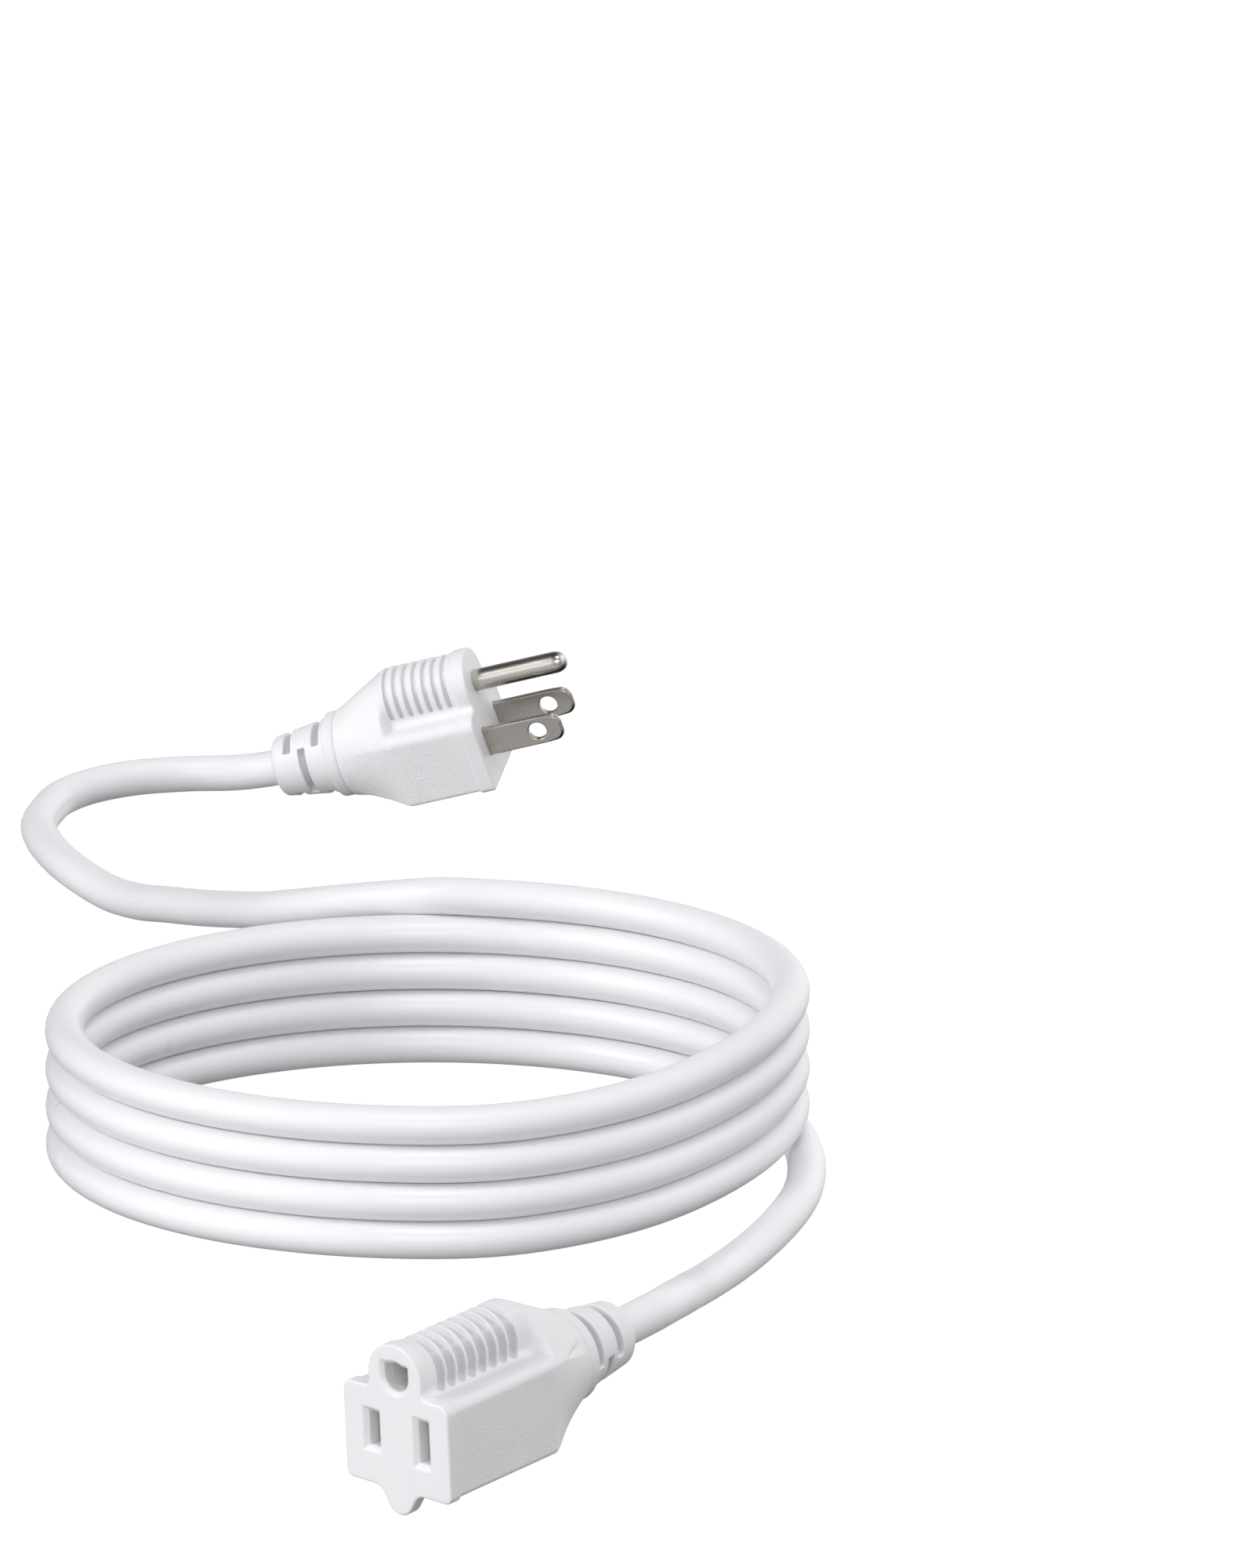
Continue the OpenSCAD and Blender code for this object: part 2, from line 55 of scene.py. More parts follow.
PLUG_F = np.array([math.cos(YAW) * math.cos(PITCH), math.sin(YAW) * math.cos(PITCH), math.sin(PITCH)])
PLUG_S = np.array([-math.sin(YAW), math.cos(YAW), 0.0])
PLUG_N = np.cross(PLUG_F, PLUG_S)
PLUG_L = PLUG_S * math.cos(ROLL) + PLUG_N * math.sin(ROLL)
PLUG_U = -PLUG_S * math.sin(ROLL) + PLUG_N * math.cos(ROLL)
CON_S = np.array([math.cos(CON_YAW), math.sin(CON_YAW), 0.0])
CON_B = np.array([-math.sin(CON_YAW) * math.cos(CON_PITCH), math.cos(CON_YAW) * math.cos(CON_PITCH),
                  math.sin(CON_PITCH)])
CON_N = np.cross(CON_S, CON_B)
CON_R = CON_S * math.cos(CON_ROLL) - CON_N * math.sin(CON_ROLL)
CON_U = CON_S * math.sin(CON_ROLL) + CON_N * math.cos(CON_ROLL)


def plug_row(v):
    """Plug coordinates (forward, left, up) in mm to the row frame in mm."""
    v = np.asarray(v, float)
    return PLUG_AT + v[..., 0:1] * PLUG_F + v[..., 1:2] * PLUG_L + v[..., 2:3] * PLUG_U


def con_row(v):
    """Connector coordinates (right, back, up) in mm to the row frame in mm."""
    v = np.asarray(v, float)
    return CON_AT + v[..., 0:1] * CON_R + v[..., 1:2] * CON_B + v[..., 2:3] * CON_U


# ------------------------------------------------------------------ camera
AZ, EL, DIST, FOCAL = math.radians(42.0), math.radians(15.7), 3750.0, 23606.0
T = COIL_AT
view_dir = np.array([-math.sin(AZ) * math.cos(EL), math.cos(AZ) * math.cos(EL), -math.sin(EL)])
view_right = np.array([math.cos(AZ), math.sin(AZ), 0.0])
view_up = np.cross(view_right, view_dir)
eye = T - view_dir * DIST
aim = view_dir + view_right * (800.0 - 544.5) / FOCAL + view_up * (1476.5 - 1000.0) / FOCAL
cam_data = bpy.data.cameras.new("camera")
cam = bpy.data.objects.new("camera", cam_data)
scene.collection.objects.link(cam)
cam_data.sensor_width = 36.0
cam_data.lens = FOCAL / 2000.0 * 36.0
cam_data.clip_start, cam_data.clip_end = 0.05, 60.0
cam.location = Vector(eye * MM)
cam.rotation_mode = "QUATERNION"
cam.rotation_quaternion = Vector(aim).to_track_quat("-Z", "Y")
scene.camera = cam

# ------------------------------------------------------------------ cord
PLUG_ROUTE = [
    (-228, 192.5, 4.4), (-237, 185.5, 3.9), (-243.5, 175, 3.9), (-245.5, 164, 3.9),
    (-243.5, 152, 3.9), (-238, 141.5, 3.9), (-231.5, 132, 3.9), (-223, 124, 3.9),
    (-213.5, 117, 3.9), (-203, 110.5, 3.9), (-191.5, 104.5, 3.9), (-179.5, 99, 4.2),
    (-166.5, 93, 6), (-150.5, 85.5, 9.6), (-133.5, 77, 13.6), (-115.5, 68, 18.2),
    (-97.5, 59.5, 23), (-89, 56.5, 25.5), (-79, 54, 28.3), (-68.5, 53.5, 31),
    (-58, 54.5, 33.3), (-48, 57.5, 35.1),
]
CON_ROUTE = [
    (60.5, 46, 3.9), (75, 30.5, 3.9), (83.5, 19, 3.9), (93, 2.5, 3.9), (101, -14.5, 3.9),
    (109, -31.5, 4.9), (118, -48.5, 7.3), (127.5, -63.5, 10.7), (137, -76.5, 14.6),
    (146.5, -89, 18.4), (154.5, -101.5, 21.4), (161, -114.5, 23.3),
]


def turn_height(s):
    """How many turns up the strand is, s turns above the bottom: level, with a climb at the end."""
    k = math.floor(s + 1e-9)
    u = min(1.0, max(0.0, (s - k - 0.77) / 0.23))
    return k + u * u * (3 - 2 * u)


def coil_points():
    pts = []
    for k in range(68):
        phi = 122.0 - 22.5 * k
        s = 4.25 - (132.0 - phi) / 360.0
        a = math.radians(phi)
        pts.append(COIL_AT + np.array([COIL_R * math.cos(a), COIL_R * math.sin(a),
                                       CORD_R + COIL_PITCH * turn_height(max(0.0, s))]))
    return pts


route = [plug_row((-30, 0, 2)), plug_row((-40, 0, 2)), plug_row((-49, 0, 2))]
route += [COIL_AT + np.array(p, float) for p in PLUG_ROUTE]
route += coil_points()
route += [COIL_AT + np.array(p, float) for p in CON_ROUTE]
route += [con_row((0, 61.5, 1.5)), con_row((0, 50, 1.5)), con_row((0, 40, 1.5))]
route = np.array(route)
gap = np.linalg.norm(np.diff(route, axis=0), axis=1)
way = np.diff(route, axis=0) / gap[:, None]
tan = np.empty_like(route)
tan[0], tan[-1] = way[0], way[-1]
tan[1:-1] = (way[:-1] * gap[1:, None] + way[1:] * gap[:-1, None]) / (gap[1:] + gap[:-1])[:, None]

curve = bpy.data.curves.new("cord", "CURVE")
curve.dimensions = "3D"
curve.resolution_u = 8
curve.bevel_depth = 1.0
curve.bevel_resolution = 10
curve.use_fill_caps = True
line = curve.splines.new("BEZIER")
line.bezier_points.add(len(route) - 1)
for i, p in enumerate(line.bezier_points):
    p.handle_left_type = p.handle_right_type = "FREE"
    p.co = Vector(route[i] * MM)
    p.radius = CORD_R * MM
    back = gap[i - 1] if i else gap[0]
    fore = gap[i] if i < len(gap) else gap[-1]
    p.handle_left = Vector((route[i] - tan[i] * back / 3) * MM)
    p.handle_right = Vector((route[i] + tan[i] * fore / 3) * MM)
cord = bpy.data.objects.new("cord", curve)
scene.collection.objects.link(cord)
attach(cord, "root")
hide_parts("cord_plug_tail", "cord_coil", "cord_connector_tail")


# ------------------------------------------------------------------ rounded solids
def union_r(a, b, r):
    return np.maximum(r, np.minimum(a, b)) - np.hypot(np.maximum(r - a, 0), np.maximum(r - b, 0))


def inter_r(a, b, r):
    return np.minimum(-r, np.maximum(a, b)) + np.hypot(np.maximum(r + a, 0), np.maximum(r + b, 0))


def cut_r(a, b, r):
    return inter_r(a, -b, r)


def box3(x, y, z, lo, hi, r=0.0):
    q = [np.abs(v - (a + b) / 2) - (b - a) / 2 + r for v, a, b in zip((x, y, z), lo, hi)]
    inside = np.minimum(np.maximum(q[0], np.maximum(q[1], q[2])), 0)
    return inside + np.sqrt(sum(np.maximum(v, 0) ** 2 for v in q)) - r


def block2(w, u, half_w, top, bottom, top_r, bottom_r):
    mid, half = (top - bottom) / 2, (top + bottom) / 2
    r = np.where(u > mid, top_r, bottom_r)
    qw, qu = np.abs(w) - half_w + r, np.abs(u - mid) - half + r
    return np.minimum(np.maximum(qw, qu), 0) + np.hypot(np.maximum(qw, 0), np.maximum(qu, 0)) - r


def two_circles(w, u, c1, r1, c2, r2):
    """The outline of a band round two circles, after the well known uneven capsule."""
    bw, bu = c2[0] - c1[0], c2[1] - c1[1]
    pw, pu = w - c1[0], u - c1[1]
    h = bw * bw + bu * bu
    qx = np.abs(pw * bu - pu * bw) / h
    qy = (pw * bw + pu * bu) / h
    b = r1 - r2
    cx = math.sqrt(h - b * b)
    k = cx * qy - b * qx
    m = cx * qx + b * qy
    n = qx * qx + qy * qy
    near = np.sqrt(h * n) - r1
    far = np.sqrt(np.maximum(h * (n + 1 - 2 * qy), 0)) - r2
    return np.where(k < 0, near, np.where(k > cx, far, m - r1))


def rod(x, y, z, a, b, r):
    a, b = np.array(a, float), np.array(b, float)
    ab = b - a
    t = np.clip(((x - a[0]) * ab[0] + (y - a[1]) * ab[1] + (z - a[2]) * ab[2]) / (ab @ ab), 0, 1)
    return np.sqrt((x - a[0] - t * ab[0]) ** 2 + (y - a[1] - t * ab[1]) ** 2
                   + (z - a[2] - t * ab[2]) ** 2) - r


def nets(f, lo, hi, h):
    """A quad mesh of the surface f = 0, with its corners moved onto the surface."""
    axes = [a + h * np.arange(int(math.ceil((b - a) / h)) + 1) for a, b in zip(lo, hi)]
    grid = f(*np.meshgrid(*axes, indexing="ij")).astype(np.float64)
    cells, points, flips = [], [], []
    shape = np.array(grid.shape)
    for a in range(3):
        b, c = (a + 1) % 3, (a + 2) % 3
        s0, s1 = [slice(None)] * 3, [slice(None)] * 3
        s0[a], s1[a] = slice(0, -1), slice(1, None)
        d0, d1 = grid[tuple(s0)], grid[tuple(s1)]
        crossing = (d0 < 0) != (d1 < 0)
        at = np.argwhere(crossing)
        e0, e1 = d0[crossing], d1[crossing]
        p = at.astype(float)
        p[:, a] += e0 / (e0 - e1)
        for db, dc in ((-1, -1), (0, -1), (0, 0), (-1, 0)):
            cell = at.copy()
            cell[:, b] += db
            cell[:, c] += dc
            cells.append((cell[:, 0] * shape[1] + cell[:, 1]) * shape[2] + cell[:, 2])
            points.append(p)
        flips.append(e0 >= 0)
    counts = [len(f0) for f0 in flips]
    _, inv = np.unique(np.concatenate(cells), return_inverse=True)
    total = np.bincount(inv)
    stacked = np.concatenate(points)
    verts = np.stack([np.bincount(inv, weights=stacked[:, k]) / total for k in range(3)], 1)
    verts = verts * h + np.array([ax[0] for ax in axes])
    faces, start = [], 0
    for n, flip in zip(counts, flips):
        q = inv[start:start + 4 * n].reshape(4, n).T
        q = np.where(flip[:, None], q[:, ::-1], q)
        faces.append(q)
        start += 4 * n
    faces = np.concatenate(faces)
    e = 0.02
    for _ in range(3):
        d = f(*verts.T)
        g = np.stack([(f(*(verts + e * np.eye(3)[k]).T) - f(*(verts - e * np.eye(3)[k]).T)) / (2 * e)
                      for k in range(3)], 1)
        step = -d[:, None] * g / np.maximum((g * g).sum(1), 0.05)[:, None]
        size = np.linalg.norm(step, axis=1)
        step *= np.minimum(1, 0.5 * h / np.maximum(size, 1e-9))[:, None]
        verts = verts + step
    return verts, faces


def piece(name, verts, faces, to_row, material, replaces=(), marks=None):
    mesh = bpy.data.meshes.new(name)
    co = (to_row(verts) * MM).astype(np.float32)
    mesh.vertices.add(len(co))
    mesh.vertices.foreach_set("co", co.ravel())
    mesh.loops.add(faces.size)
    mesh.loops.foreach_set("vertex_index", faces.astype(np.int32).ravel())
    mesh.polygons.add(len(faces))
    mesh.polygons.foreach_set("loop_start", np.arange(0, faces.size, faces.shape[1], dtype=np.int32))
    mesh.polygons.foreach_set("loop_total", np.full(len(faces), faces.shape[1], np.int32))
    for mark, values in (marks or {}).items():
        att = mesh.attributes.new(mark, "FLOAT", "POINT")
        att.data.foreach_set("value", np.asarray(values, np.float32))
    mesh.update(calc_edges=True)
    mesh.validate()
    mesh.shade_smooth()
    mesh.materials.append(material)
    o = bpy.data.objects.new(name, mesh)
    scene.collection.objects.link(o)
    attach(o, "root")
    if replaces:
        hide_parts(*replaces)
    return o


# ------------------------------------------------------------------ materials
def new_material(name, color, rough, metallic=0.0):
    m = bpy.data.materials.new(name)
    m.use_nodes = True
    nt = m.node_tree
    b = nt.nodes["Principled BSDF"]
    b.inputs["Base Color"].default_value = (*color, 1)
    b.inputs["Roughness"].default_value = rough
    b.inputs["Metallic"].default_value = metallic
    return m, nt, b


def noise(nt, scale, detail=2.0, rough=0.5, stretch=None):
    co = nt.nodes.new("ShaderNodeTexCoord")
    t = nt.nodes.new("ShaderNodeTexNoise")
    t.inputs["Scale"].default_value = scale
    t.inputs["Detail"].default_value = detail
    t.inputs["Roughness"].default_value = rough
    if stretch:
        mp = nt.nodes.new("ShaderNodeMapping")
        mp.inputs["Rotation"].default_value = stretch[0]
        mp.inputs["Scale"].default_value = stretch[1]
        nt.links.new(co.outputs["Object"], mp.inputs["Vector"])
        nt.links.new(mp.outputs["Vector"], t.inputs["Vector"])
    else:
        nt.links.new(co.outputs["Object"], t.inputs["Vector"])
    return t


def ramp(nt, source, lo, hi, a, b):
    r = nt.nodes.new("ShaderNodeMapRange")
    r.inputs["From Min"].default_value = lo
    r.inputs["From Max"].default_value = hi
    r.inputs["To Min"].default_value = a
    r.inputs["To Max"].default_value = b
    nt.links.new(source, r.inputs["Value"])
    return r.outputs["Result"]


def tint(nt, source, c0, c1):
    r = nt.nodes.new("ShaderNodeValToRGB")
    r.color_ramp.elements[0].position, r.color_ramp.elements[1].position = 0.3, 0.7
    r.color_ramp.elements[0].color = (*c0, 1)
    r.color_ramp.elements[1].color = (*c1, 1)
    nt.links.new(source, r.inputs["Fac"])
    return r.outputs["Color"]


def bump(nt, b, height, strength, distance, before=None):
    k = nt.nodes.new("ShaderNodeBump")
    k.inputs["Distance"].default_value = distance
    if isinstance(strength, float):
        k.inputs["Strength"].default_value = strength
    else:
        nt.links.new(strength, k.inputs["Strength"])
    nt.links.new(height, k.inputs["Height"])
    if before is not None:
        nt.links.new(before.outputs["Normal"], k.inputs["Normal"])
    nt.links.new(k.outputs["Normal"], b.inputs["Normal"])
    return k


def vinyl():
    m, nt, b = new_material("white_vinyl", (0.80, 0.805, 0.812), 0.45)
    big = noise(nt, 60, 3)
    clean = tint(nt, big.outputs["Fac"], (0.79, 0.795, 0.804), (0.81, 0.815, 0.82))
    # Painted shade: the attribute marks groove floors and relief slots, and there the base colour is multiplied by
    # about 0.885, darkening the hollows where shade falls; the real vinyl is one colour.
    painted_shade = nt.nodes.new("ShaderNodeAttribute")
    painted_shade.attribute_name = "painted_shade"
    shade_multiply = nt.nodes.new("ShaderNodeMix")
    shade_multiply.data_type = "RGBA"
    shade_multiply.blend_type = "MULTIPLY"
    shade_multiply.inputs["B"].default_value = (0.885, 0.885, 0.892, 1)
    nt.links.new(painted_shade.outputs["Fac"], shade_multiply.inputs["Factor"])
    nt.links.new(clean, shade_multiply.inputs["A"])
    nt.links.new(shade_multiply.outputs["Result"], b.inputs["Base Color"])
    grain = nt.nodes.new("ShaderNodeAttribute")
    grain.attribute_name = "grain"
    pebble = noise(nt, 2100, 1.5, 0.5)
    fine = noise(nt, 700, 2)
    nt.links.new(ramp(nt, big.outputs["Fac"], 0.3, 0.7, 0.40, 0.50), b.inputs["Roughness"])
    first = bump(nt, b, fine.outputs["Fac"], 0.05, 0.0001)
    bump(nt, b, pebble.outputs["Fac"], ramp(nt, grain.outputs["Fac"], 0, 1, 0.0, 1.0), 0.00016, first)
    return m


def jacket():
    m, nt, b = new_material("white_jacket", (0.84, 0.845, 0.855), 0.3)
    big = noise(nt, 25, 3)
    nt.links.new(tint(nt, big.outputs["Fac"], (0.832, 0.838, 0.85), (0.85, 0.855, 0.863)), b.inputs["Base Color"])
    nt.links.new(ramp(nt, big.outputs["Fac"], 0.3, 0.7, 0.27, 0.36), b.inputs["Roughness"])
    wave = noise(nt, 140, 2)
    skin = noise(nt, 1800, 2)
    first = bump(nt, b, wave.outputs["Fac"], 0.06, 0.0004)
    bump(nt, b, skin.outputs["Fac"], 0.04, 0.00005, first)
    return m


def metal(name, c0, c1, rough, brush):
    m, nt, b = new_material(name, c0, rough, 1.0)
    cloud = noise(nt, 180, 3)
    nt.links.new(tint(nt, cloud.outputs["Fac"], c0, c1), b.inputs["Base Color"])
    lines = noise(nt, 700, 1.0, 0.5, ((0, math.radians(16), math.radians(-27)), (0.08, 1.0, 1.0)))
    nt.links.new(ramp(nt, lines.outputs["Fac"], 0.3, 0.7, rough * 0.9, rough * 1.12), b.inputs["Roughness"])
    bump(nt, b, lines.outputs["Fac"], brush, 0.00004)
    return m


def plain(name, color, rough, metallic=0.0, scale=400.0):
    m, nt, b = new_material(name, color, rough, metallic)
    spots = noise(nt, scale, 3)
    dark = tuple(c * 0.9 for c in color)
    nt.links.new(tint(nt, spots.outputs["Fac"], dark, color), b.inputs["Base Color"])
    nt.links.new(ramp(nt, spots.outputs["Fac"], 0.3, 0.7, rough * 0.85, min(1.0, rough * 1.2)), b.inputs["Roughness"])
    bump(nt, b, spots.outputs["Fac"], 0.08, 0.00005)
    return m


VINYL, JACKET = vinyl(), jacket()
BLADE = metal("nickel_blade", (0.48, 0.445, 0.405), (0.51, 0.475, 0.43), 0.27, 0.02)
PIN = metal("nickel_pin", (0.61, 0.57, 0.525), (0.64, 0.605, 0.555), 0.24, 0.012)
RESIN = plain("inner_resin", (0.80, 0.79, 0.76), 0.5)
BRASS = plain("brass_contact", (0.72, 0.53, 0.24), 0.28, 1.0)
COPPER = plain("copper_strand", (0.72, 0.36, 0.20), 0.35, 1.0, 900.0)
BLACK = plain("black_insulation", (0.02, 0.02, 0.022), 0.4)
WHITE = plain("white_insulation", (0.78, 0.78, 0.77), 0.4)
GREEN = plain("green_insulation", (0.03, 0.24, 0.07), 0.4)
curve.materials.append(JACKET)
for node, mat in {
    "plug_insert": RESIN, "contact_carrier": RESIN, "carrier_cover": RESIN,
    "line_contact": BRASS, "neutral_contact": BRASS, "ground_contact": BRASS,
    "plug_wire_cores": COPPER, "connector_wire_cores": COPPER,
    "plug_line_wire": BLACK, "connector_line_wire": BLACK,
    "plug_neutral_wire": WHITE, "connector_neutral_wire": WHITE,
    "plug_ground_wire": GREEN, "connector_ground_wire": GREEN,
}.items():
    o = nodes[node]
    if o.material_slots:
        for s in o.material_slots:
            s.material = mat
    else:
        o.data.materials.append(mat)


# ------------------------------------------------------------------ moulded bodies
PLUG = dict(half_w=12.4, top=8.2, bottom=9.5, top_r=3.0, bottom_r=1.2, lobe_r=7.4, fillet=1.8,
            flange=3.3, grip=19.5, taper=33.0, fade=1.6, exit=2.0, first=5.05, pitch=2.26, count=7,
            groove=0.46, depth=0.62, deeper=0.3, shallower=0.0, ridge=0.1, low=-16.0,
            grain=33.0, tab=False)
CONN = dict(half_w=13.4, top=9.0, bottom=11.0, top_r=2.3, bottom_r=1.6, lobe_r=6.8, fillet=1.8,
            flange=3.0, grip=31.0, taper=45.0, fade=2.4, exit=1.5, first=6.4, pitch=2.92, count=8,
            groove=1.08, depth=1.3, deeper=0.6, shallower=0.65, ridge=0.22, low=-18.0,
            grain=31.6, tab=True)
PIN_UP, INSET, COLLAR = 11.9, 0.45, 9.65


def grooves(s, w, u, p):
    """The grip grooves over the lobe, each a U-shaped channel."""
    rho = np.hypot(w, u - PIN_UP)
    slope = np.degrees(np.arctan2(u - PIN_UP, np.abs(w)))
    flank = np.clip((28 - slope) / 20, 0, 1)
    depth = (p["depth"] + p["deeper"] * flank * flank * (3 - 2 * flank)
             - p["shallower"] * np.exp(-((slope - 42) / 11) ** 2))
    past = np.radians(np.clip(p["low"] - slope, 0, 90))
    reach = rho * np.cos(past) - p["lobe_r"] + INSET
    sunk = np.maximum(np.maximum(p["groove"] - depth - reach, reach), 0)
    k = np.clip(np.round((s - p["first"]) / p["pitch"]), 0, p["count"] - 1)
    return np.sqrt((s - p["first"] - k * p["pitch"]) ** 2 + (rho * np.sin(past)) ** 2 + sunk ** 2) - p["groove"]


def moulded(s, w, u, p):
    """A moulded grip body: s is the depth behind the face, w across and u up."""
    lobe = np.hypot(w, u - PIN_UP) - p["lobe_r"]
    block = block2(w, u, p["half_w"], p["top"], p["bottom"], p["top_r"], p["bottom_r"])
    out = union_r(block, lobe, p["fillet"])
    full = np.minimum(np.minimum(block, lobe), two_circles(
        np.abs(w), u, (0.0, PIN_UP), p["lobe_r"],
        (p["half_w"] - p["top_r"], p["top"] - p["top_r"]), p["top_r"]))
    face = out
    if p["tab"]:
        face = union_r(out, np.hypot(w, u + p["bottom"] + 1.75) - 3.25, 3.6)
    flange = inter_r(face, np.abs(s - p["flange"] / 2) - p["flange"] / 2, 0.4)
    disc = np.hypot(w, u - p["exit"]) - COLLAR
    along = s - p["grip"]
    t = np.clip((np.sqrt(along ** 2 + 0.1) + along) / 2 / (p["taper"] - p["grip"]), 0, 1)
    grip = (1 - t) * (out + INSET) + t * disc
    grip = cut_r(grip, grooves(s, w, u, p), p["ridge"])
    grip = np.maximum(np.maximum(grip, 1.0 - s), along)
    fade = np.clip(along / p["fade"], 0, 1)
    fade = fade * fade * (3 - 2 * fade)
    cone = np.maximum((1 - t) * ((1 - fade) * out + fade * full + INSET) + t * disc, -along)
    cone = inter_r(cone, s - p["taper"], 0.25)
    return np.minimum(np.minimum(flange, grip), cone)


def grain_mark(s, w, u, p):
    def step(v, a, b):
        x = np.clip((v - a) / (b - a), 0, 1)
        return x * x * (3 - 2 * x)
    return (step(s, p["flange"] + 0.6, p["flange"] + 1.6) * step(p["grain"] - s, 0.4, 1.4)
            * step(p["top"] - u, 1.2, 2.6))


# Mask of painted shade: 1 in the floors of the grip grooves, where the base colour is darkened as painted shade.
def groove_shade_mask(s, w, u, p):
    return np.clip((0.14 - grooves(s, w, u, p)) / 0.14, 0, 1)


# Mask of painted shade: 1 inside the strain relief's slots, away from the cord, where the base colour is darkened as
# painted shade.
def slot_shade_mask(s, a, b, length):
    radius = 8.4 + (6.5 - 8.4) * (s - 2.9) / (length - 2.9)
    rho = np.hypot(a, b)
    return np.clip((radius - 0.3 - rho) / 0.5, 0, 1) * (rho > CORD_R + 0.3)


def plug_shape(x, y, z):
    d = moulded(-x, y, z, PLUG)
    d = np.maximum(d, -box3(x, y, z, (-12, -9.3, -6), (-2, 9.3, 6.5)))
    d = np.maximum(d, -box3(x, y, z, (-12, -4.5, 5), (-2, 4.5, 15.5)))
    for s in (-1, 1):
        d = np.maximum(d, -box3(x, y, z, (-14, s * 6.35 - 0.76, -3.175), (3, s * 6.35 + 0.76, 3.175)))
        d = np.maximum(d, -rod(x, y, z, (-20, s * 6.35, 0), (-14, s * 6.35, 0), 1.7))
        d = np.maximum(d, -rod(x, y, z, (-21.6, s * 6.2, 0.1), (-28.8, s * 1.7, 1.2), 1.25))
    d = np.maximum(d, -np.maximum(np.hypot(y, z - PIN_UP) - 2.1, -14 - x))
    d = np.maximum(d, -rod(x, y, z, (-20, 0, PIN_UP), (-14, 0, PIN_UP), 1.7))
    d = np.maximum(d, -rod(x, y, z, (-21.6, 0, PIN_UP - 0.3), (-28.8, 0, 4), 1.25))
    return np.maximum(d, -np.maximum(np.hypot(y, z - 2) - CORD_R, x + 30))


def con_shape(x, y, z):
    d = moulded(y, x, z, CONN)
    for cx, h in ((-6.35, 7.1), (6.35, 8.7)):
        lead = np.maximum(0.95 - y, 0)
        slot = np.maximum(np.abs(x - cx) - 1.3 - lead, np.abs(z) - h / 2 - lead)
        d = np.maximum(d, -np.maximum(slot, y - 4))
    lead = np.maximum(0.8 - y, 0)
    hole = np.minimum(np.hypot(x, z - PIN_UP) - 2.9, box3(x, y, z, (-2.9, -9, PIN_UP), (2.9, 9, 14.4)))
    d = np.maximum(d, -np.maximum(hole - lead, y - 4))
    d = np.maximum(d, -box3(x, y, z, (-10.5, 3.5, -6.5), (10.5, 26, 6.5)))
    d = np.maximum(d, -box3(x, y, z, (-4, 3.5, 5), (4, 26, 15.5)))
    for s in (-1, 1):
        d = np.maximum(d, -rod(x, y, z, (s * 6.35, 25, 0), (s * 6.35, 32, 0), 1.7))
        d = np.maximum(d, -rod(x, y, z, (s * 6.1, 33.8, 0.1), (s * 1.7, 38.8, 0.8), 1.25))
    d = np.maximum(d, -rod(x, y, z, (0, 25, PIN_UP), (0, 32, PIN_UP), 1.7))
    d = np.maximum(d, -rod(x, y, z, (0, 33.8, PIN_UP - 0.3), (0, 38.8, 3.5), 1.25))
    return np.maximum(d, -np.maximum(np.hypot(x, z - 1.5) - CORD_R, 40 - y))


def relief(s, a, b, length, slots):
    """A strain relief: s back from its collar, a and b across its axis, slots as (from, to, turn, half)."""
    rho = np.hypot(a, b)
    radius = 8.4 + (6.5 - 8.4) * (s - 2.9) / (length - 2.9)
    cone = inter_r(rho - radius, s - length, 1.2)
    cone = np.maximum(cone, -s)
    collar = inter_r(rho - COLLAR + 0.25, np.abs(s - 1.45) - 1.45, 0.7)
    d = union_r(cone, collar, 0.35)
    turn = np.degrees(np.arctan2(b, a))
    for s0, s1, mid, half in slots:
        away = np.abs((turn - mid + 180) % 360 - 180)
        q = [np.abs(s - (s0 + s1) / 2) - (s1 - s0) / 2 + 0.2,
             np.radians(away - half) * rho + 0.2, radius - 1.9 - rho + 0.2]
        hole = np.minimum(np.maximum(q[0], np.maximum(q[1], q[2])), 0) + np.sqrt(
            sum(np.maximum(v, 0) ** 2 for v in q)) - 0.2
        d = cut_r(d, hole, 0.18)
    return np.maximum(d, CORD_R - rho)


def plug_relief_shape(x, y, z):
    slots = [(a, b, turn + side, 46) for a, b, turn in ((4, 5.7, 0), (7.5, 9.2, 90), (11, 12.7, 0))
             for side in (0, 180)]
    return relief(-33 - x, z - 2, y, 16.0, slots)


def con_relief_shape(x, y, z):
    slots = [(3.3, 5.4, 65, 76), (6.8, 8.8, -75, 72), (10, 12, 65, 76)]
    return relief(y - 45, x, z - 1.5, 16.5, slots)


def blade_shape(x, y, z):
    r = np.where(x > 0, 2.3, 0.1)
    qx, qz = np.abs(x - 2.8) - 14.8 + r, np.abs(z) - 3.175 + r
    out = np.minimum(np.maximum(qx, qz), 0) + np.hypot(np.maximum(qx, 0), np.maximum(qz, 0)) - r
    t = np.clip((x - 12.5) / 4, 0, 1)
    c = 0.16 + 0.42 * t * t * (3 - 2 * t)
    thick = np.abs(y) - 0.76
    d = np.maximum(np.maximum(out, thick), (out + thick + c) * 0.70711)
    hole = 1.98 - np.hypot(x - 11.9, z)
    d = np.maximum(np.maximum(d, hole), (hole + thick + 0.16) * 0.70711)
    d = np.minimum(d, box3(x, y, z, (-15, -0.76, -1.3), (-11, 0.76, 1.3)))
    rho = np.hypot(y, z)
    barrel = np.maximum(np.maximum(rho - 1.7, np.abs(x + 17) - 3), 0.75 - rho)
    return np.minimum(d, barrel)


H = 0.24
HP = 0.22
HF = 0.15
